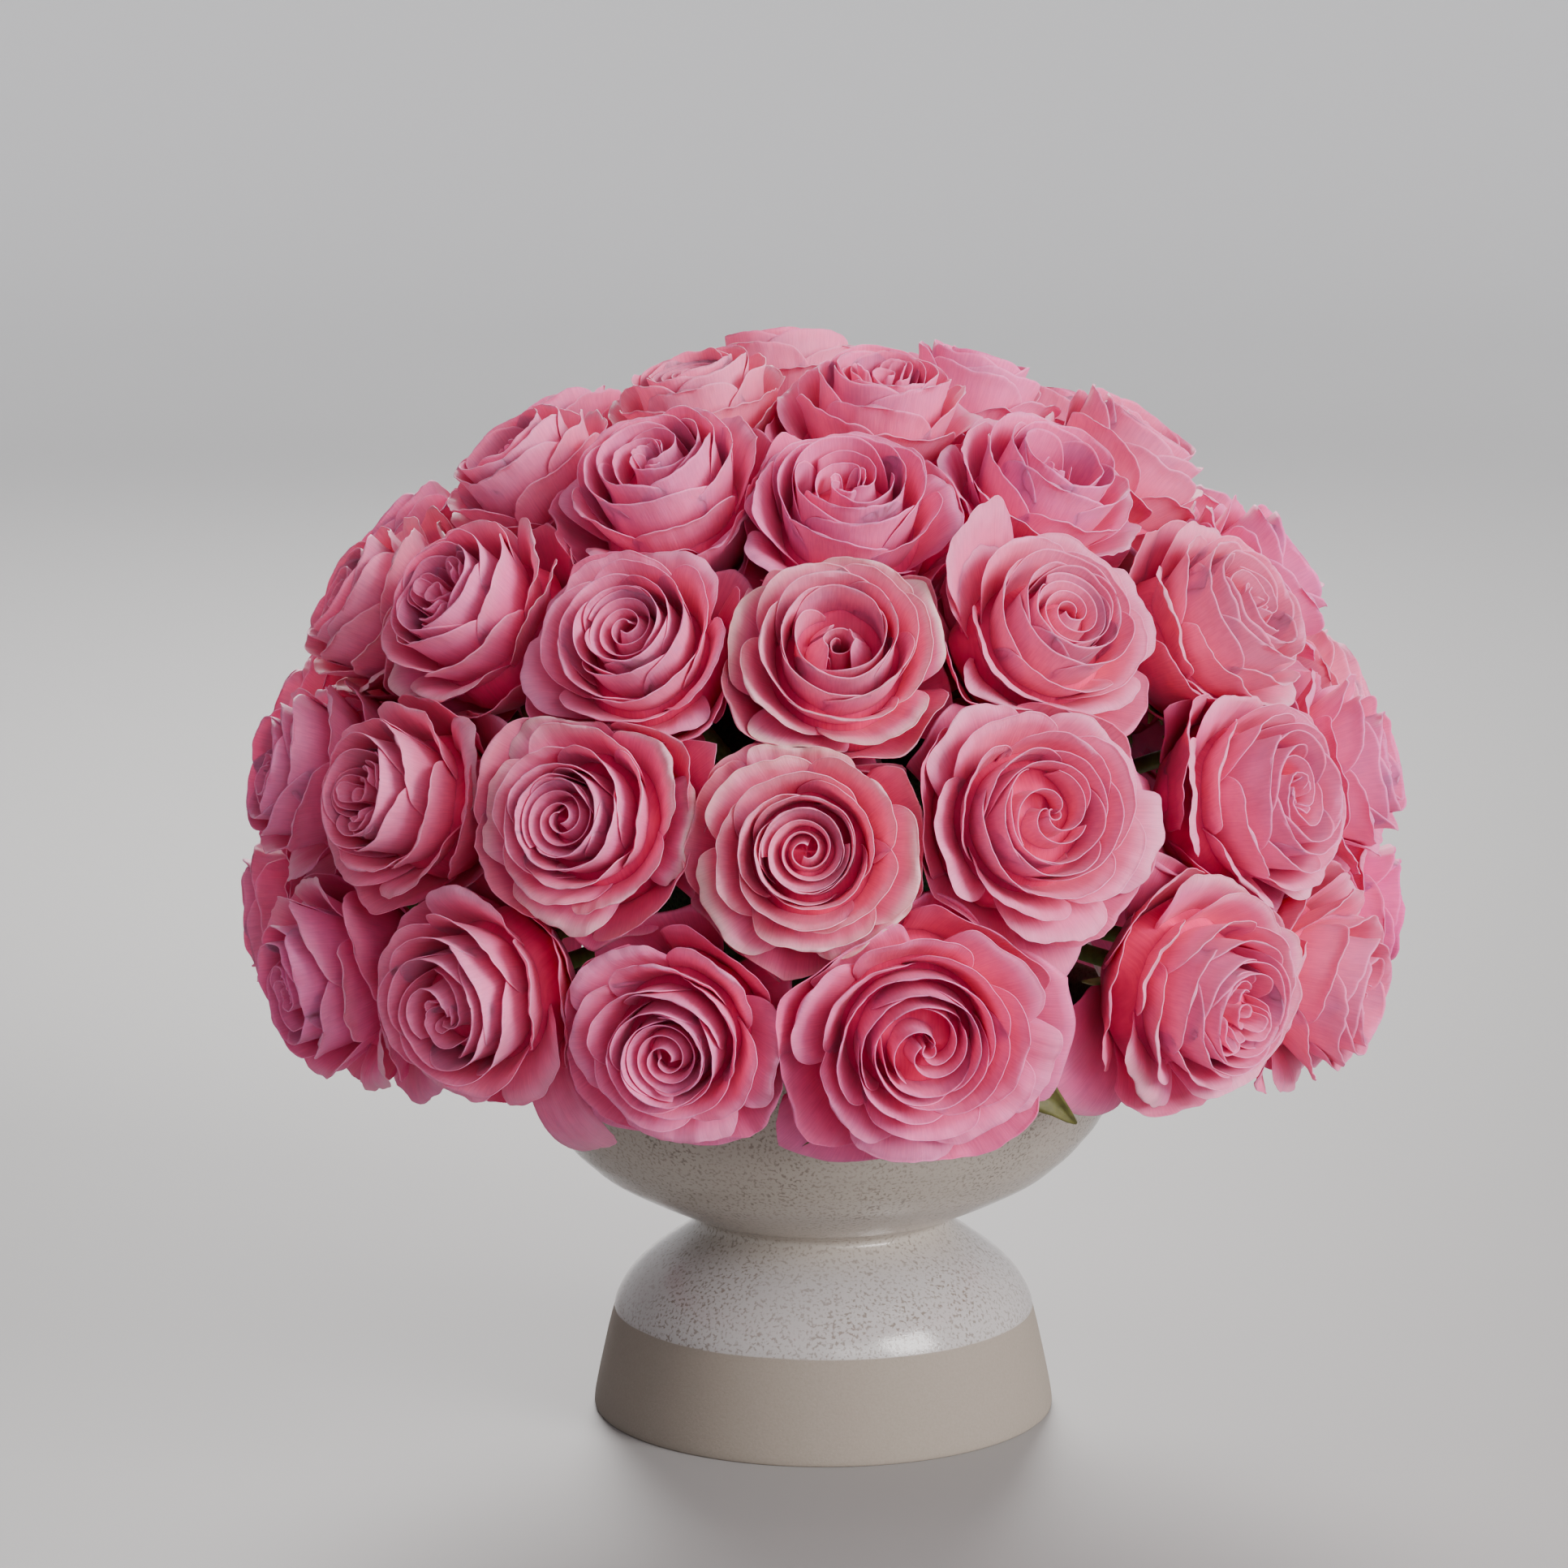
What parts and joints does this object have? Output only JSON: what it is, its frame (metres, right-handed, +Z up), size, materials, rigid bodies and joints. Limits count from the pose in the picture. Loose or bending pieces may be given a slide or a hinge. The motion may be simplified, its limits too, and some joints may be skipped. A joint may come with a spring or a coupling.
{
  "type": "rose centrepiece in a footed bowl",
  "caption": "Round dome of open pink garden roses pushed into floral foam in a footed, speckled stoneware compote bowl.",
  "frame": {"origin": "on the floor under the middle of the foot ring, on the bowl's axis, which is also the middle of the arrangement's outline seen from above", "axes": "+Z up along the bowl's axis; -Y is the side seen in the picture, +X is the viewer's right. The arrangement is a little lower than it is wide."},
  "size_m": [0.3417, 0.3387, 0.3127],
  "materials": {
    "stoneware": "gloss speckled glaze over a bare matte foot band",
    "foam": "matt, open-celled, soaked",
    "tape": "satin white",
    "petals_1": "soft matt petals",
    "petals_2": "soft matt petals",
    "petals_3": "soft matt petals",
    "petals_4": "soft matt petals",
    "petals_5": "soft matt petals"
  },
  "bodies": {
    "bowl": {"compote_bowl": "stoneware", "floral_foam": "foam", "anchor_tape_1": "tape", "anchor_tape_2": "tape"},
    "rose_a01": {"rose_a01": "petals_1"},
    "rose_a02": {"rose_a02": "petals_2"},
    "rose_a03": {"rose_a03": "petals_3"},
    "rose_a04": {"rose_a04": "petals_4"},
    "rose_a05": {"rose_a05": "petals_5"},
    "rose_a06": {"rose_a06": "petals_1"},
    "rose_a07": {"rose_a07": "petals_2"},
    "rose_a08": {"rose_a08": "petals_3"},
    "rose_a09": {"rose_a09": "petals_4"},
    "rose_a10": {"rose_a10": "petals_5"},
    "rose_a11": {"rose_a11": "petals_1"},
    "rose_a12": {"rose_a12": "petals_2"},
    "rose_a13": {"rose_a13": "petals_3"},
    "rose_a14": {"rose_a14": "petals_4"},
    "rose_b01": {"rose_b01": "petals_5"},
    "rose_b02": {"rose_b02": "petals_1"},
    "rose_b03": {"rose_b03": "petals_2"},
    "rose_b04": {"rose_b04": "petals_3"},
    "rose_b05": {"rose_b05": "petals_4"},
    "rose_b06": {"rose_b06": "petals_5"},
    "rose_b07": {"rose_b07": "petals_1"},
    "rose_b08": {"rose_b08": "petals_2"},
    "rose_b09": {"rose_b09": "petals_3"},
    "rose_b10": {"rose_b10": "petals_4"},
    "rose_b11": {"rose_b11": "petals_5"},
    "rose_b12": {"rose_b12": "petals_1"},
    "rose_b13": {"rose_b13": "petals_2"},
    "rose_b14": {"rose_b14": "petals_3"},
    "rose_c01": {"rose_c01": "petals_4"},
    "rose_c02": {"rose_c02": "petals_5"},
    "rose_c03": {"rose_c03": "petals_1"},
    "rose_c04": {"rose_c04": "petals_2"},
    "rose_c05": {"rose_c05": "petals_3"},
    "rose_c06": {"rose_c06": "petals_4"},
    "rose_c07": {"rose_c07": "petals_5"},
    "rose_c08": {"rose_c08": "petals_1"},
    "rose_c09": {"rose_c09": "petals_2"},
    "rose_c10": {"rose_c10": "petals_3"},
    "rose_c11": {"rose_c11": "petals_4"},
    "rose_c12": {"rose_c12": "petals_5"},
    "rose_c13": {"rose_c13": "petals_1"},
    "rose_d01": {"rose_d01": "petals_2"},
    "rose_d02": {"rose_d02": "petals_3"},
    "rose_d03": {"rose_d03": "petals_4"},
    "rose_d04": {"rose_d04": "petals_5"},
    "rose_d05": {"rose_d05": "petals_1"},
    "rose_d06": {"rose_d06": "petals_2"},
    "rose_d07": {"rose_d07": "petals_3"},
    "rose_d08": {"rose_d08": "petals_4"},
    "rose_d09": {"rose_d09": "petals_5"},
    "rose_e01": {"rose_e01": "petals_1"},
    "rose_e02": {"rose_e02": "petals_2"},
    "rose_e03": {"rose_e03": "petals_3"},
    "rose_e04": {"rose_e04": "petals_4"}
  },
  "joints": [
    {"name": "rose_a01_pull", "type": "slide", "parent": "bowl", "child": "rose_a01", "axis": [-0.9956, 0.0174, -0.0922], "range_m": [0, 0.03]},
    {"name": "rose_a02_pull", "type": "slide", "parent": "bowl", "child": "rose_a02", "axis": [-0.8986, -0.419, -0.1304], "range_m": [0, 0.03]},
    {"name": "rose_a03_pull", "type": "slide", "parent": "bowl", "child": "rose_a03", "axis": [-0.6274, -0.7747, -0.0786], "range_m": [0, 0.03]},
    {"name": "rose_a04_pull", "type": "slide", "parent": "bowl", "child": "rose_a04", "axis": [-0.2738, -0.9547, -0.1168], "range_m": [0, 0.03]},
    {"name": "rose_a05_pull", "type": "slide", "parent": "bowl", "child": "rose_a05", "axis": [0.1554, -0.9814, -0.1123], "range_m": [0, 0.03]},
    {"name": "rose_a06_pull", "type": "slide", "parent": "bowl", "child": "rose_a06", "axis": [0.6798, -0.729, -0.0808], "range_m": [0, 0.03]},
    {"name": "rose_a07_pull", "type": "slide", "parent": "bowl", "child": "rose_a07", "axis": [0.9125, -0.3873, -0.1317], "range_m": [0, 0.03]},
    {"name": "rose_a08_pull", "type": "slide", "parent": "bowl", "child": "rose_a08", "axis": [0.9955, 0.0348, -0.0881], "range_m": [0, 0.03]},
    {"name": "rose_a09_pull", "type": "slide", "parent": "bowl", "child": "rose_a09", "axis": [0.8864, 0.4516, -0.1015], "range_m": [0, 0.03]},
    {"name": "rose_a10_pull", "type": "slide", "parent": "bowl", "child": "rose_a10", "axis": [0.6108, 0.7818, -0.1254], "range_m": [0, 0.03]},
    {"name": "rose_a11_pull", "type": "slide", "parent": "bowl", "child": "rose_a11", "axis": [0.2073, 0.9753, -0.0767], "range_m": [0, 0.03]},
    {"name": "rose_a12_pull", "type": "slide", "parent": "bowl", "child": "rose_a12", "axis": [-0.24, 0.9627, -0.1246], "range_m": [0, 0.03]},
    {"name": "rose_a13_pull", "type": "slide", "parent": "bowl", "child": "rose_a13", "axis": [-0.626, 0.773, -0.1027], "range_m": [0, 0.03]},
    {"name": "rose_a14_pull", "type": "slide", "parent": "bowl", "child": "rose_a14", "axis": [-0.8954, 0.4367, -0.0872], "range_m": [0, 0.03]},
    {"name": "rose_b01_pull", "type": "slide", "parent": "bowl", "child": "rose_b01", "axis": [-0.9455, -0.2357, 0.2246], "range_m": [0, 0.03]},
    {"name": "rose_b02_pull", "type": "slide", "parent": "bowl", "child": "rose_b02", "axis": [-0.7649, -0.5976, 0.2406], "range_m": [0, 0.03]},
    {"name": "rose_b03_pull", "type": "slide", "parent": "bowl", "child": "rose_b03", "axis": [-0.4232, -0.8676, 0.2611], "range_m": [0, 0.03]},
    {"name": "rose_b04_pull", "type": "slide", "parent": "bowl", "child": "rose_b04", "axis": [-0.0341, -0.9761, 0.2148], "range_m": [0, 0.03]},
    {"name": "rose_b05_pull", "type": "slide", "parent": "bowl", "child": "rose_b05", "axis": [0.3615, -0.8947, 0.2625], "range_m": [0, 0.03]},
    {"name": "rose_b06_pull", "type": "slide", "parent": "bowl", "child": "rose_b06", "axis": [0.7857, -0.5708, 0.2385], "range_m": [0, 0.03]},
    {"name": "rose_b07_pull", "type": "slide", "parent": "bowl", "child": "rose_b07", "axis": [0.9562, -0.1859, 0.2262], "range_m": [0, 0.03]},
    {"name": "rose_b08_pull", "type": "slide", "parent": "bowl", "child": "rose_b08", "axis": [0.9347, 0.2331, 0.2683], "range_m": [0, 0.03]},
    {"name": "rose_b09_pull", "type": "slide", "parent": "bowl", "child": "rose_b09", "axis": [0.7475, 0.6273, 0.2185], "range_m": [0, 0.03]},
    {"name": "rose_b10_pull", "type": "slide", "parent": "bowl", "child": "rose_b10", "axis": [0.3938, 0.8845, 0.2499], "range_m": [0, 0.03]},
    {"name": "rose_b11_pull", "type": "slide", "parent": "bowl", "child": "rose_b11", "axis": [-0.0338, 0.9668, 0.2535], "range_m": [0, 0.03]},
    {"name": "rose_b12_pull", "type": "slide", "parent": "bowl", "child": "rose_b12", "axis": [-0.4583, 0.862, 0.2168], "range_m": [0, 0.03]},
    {"name": "rose_b13_pull", "type": "slide", "parent": "bowl", "child": "rose_b13", "axis": [-0.7796, 0.5664, 0.2673], "range_m": [0, 0.03]},
    {"name": "rose_b14_pull", "type": "slide", "parent": "bowl", "child": "rose_b14", "axis": [-0.9554, 0.1857, 0.2295], "range_m": [0, 0.03]},
    {"name": "rose_c01_pull", "type": "slide", "parent": "bowl", "child": "rose_c01", "axis": [-0.8253, -0.1754, 0.5367], "range_m": [0, 0.03]},
    {"name": "rose_c02_pull", "type": "slide", "parent": "bowl", "child": "rose_c02", "axis": [-0.6508, -0.4904, 0.5797], "range_m": [0, 0.03]},
    {"name": "rose_c03_pull", "type": "slide", "parent": "bowl", "child": "rose_c03", "axis": [-0.3527, -0.7563, 0.551], "range_m": [0, 0.03]},
    {"name": "rose_c04_pull", "type": "slide", "parent": "bowl", "child": "rose_c04", "axis": [0.0146, -0.8347, 0.5505], "range_m": [0, 0.03]},
    {"name": "rose_c05_pull", "type": "slide", "parent": "bowl", "child": "rose_c05", "axis": [0.395, -0.7125, 0.5799], "range_m": [0, 0.03]},
    {"name": "rose_c06_pull", "type": "slide", "parent": "bowl", "child": "rose_c06", "axis": [0.7307, -0.4218, 0.5368], "range_m": [0, 0.03]},
    {"name": "rose_c07_pull", "type": "slide", "parent": "bowl", "child": "rose_c07", "axis": [0.8205, -0.0287, 0.5709], "range_m": [0, 0.03]},
    {"name": "rose_c08_pull", "type": "slide", "parent": "bowl", "child": "rose_c08", "axis": [0.7484, 0.349, 0.5639], "range_m": [0, 0.03]},
    {"name": "rose_c09_pull", "type": "slide", "parent": "bowl", "child": "rose_c09", "axis": [0.5064, 0.6721, 0.5402], "range_m": [0, 0.03]},
    {"name": "rose_c10_pull", "type": "slide", "parent": "bowl", "child": "rose_c10", "axis": [0.1272, 0.8032, 0.582], "range_m": [0, 0.03]},
    {"name": "rose_c11_pull", "type": "slide", "parent": "bowl", "child": "rose_c11", "axis": [-0.2732, 0.7934, 0.544], "range_m": [0, 0.03]},
    {"name": "rose_c12_pull", "type": "slide", "parent": "bowl", "child": "rose_c12", "axis": [-0.6067, 0.5657, 0.5585], "range_m": [0, 0.03]},
    {"name": "rose_c13_pull", "type": "slide", "parent": "bowl", "child": "rose_c13", "axis": [-0.7901, 0.2117, 0.5753], "range_m": [0, 0.03]},
    {"name": "rose_d01_pull", "type": "slide", "parent": "bowl", "child": "rose_d01", "axis": [-0.5622, -0.1827, 0.8066], "range_m": [0, 0.03]},
    {"name": "rose_d02_pull", "type": "slide", "parent": "bowl", "child": "rose_d02", "axis": [-0.3105, -0.4781, 0.8216], "range_m": [0, 0.03]},
    {"name": "rose_d03_pull", "type": "slide", "parent": "bowl", "child": "rose_d03", "axis": [0.0426, -0.6086, 0.7923], "range_m": [0, 0.03]},
    {"name": "rose_d04_pull", "type": "slide", "parent": "bowl", "child": "rose_d04", "axis": [0.4114, -0.3973, 0.8203], "range_m": [0, 0.03]},
    {"name": "rose_d05_pull", "type": "slide", "parent": "bowl", "child": "rose_d05", "axis": [0.588, -0.0205, 0.8086], "range_m": [0, 0.03]},
    {"name": "rose_d06_pull", "type": "slide", "parent": "bowl", "child": "rose_d06", "axis": [0.4748, 0.3709, 0.7981], "range_m": [0, 0.03]},
    {"name": "rose_d07_pull", "type": "slide", "parent": "bowl", "child": "rose_d07", "axis": [0.1175, 0.5528, 0.825], "range_m": [0, 0.03]},
    {"name": "rose_d08_pull", "type": "slide", "parent": "bowl", "child": "rose_d08", "axis": [-0.2845, 0.535, 0.7955], "range_m": [0, 0.03]},
    {"name": "rose_d09_pull", "type": "slide", "parent": "bowl", "child": "rose_d09", "axis": [-0.5408, 0.2185, 0.8123], "range_m": [0, 0.03]},
    {"name": "rose_e01_pull", "type": "slide", "parent": "bowl", "child": "rose_e01", "axis": [-0.2532, -0.1462, 0.9563], "range_m": [0, 0.03]},
    {"name": "rose_e02_pull", "type": "slide", "parent": "bowl", "child": "rose_e02", "axis": [0.0938, -0.2578, 0.9616], "range_m": [0, 0.03]},
    {"name": "rose_e03_pull", "type": "slide", "parent": "bowl", "child": "rose_e03", "axis": [0.308, 0.0825, 0.9478], "range_m": [0, 0.03]},
    {"name": "rose_e04_pull", "type": "slide", "parent": "bowl", "child": "rose_e04", "axis": [-0.0702, 0.2618, 0.9626], "range_m": [0, 0.03]}
  ]
}
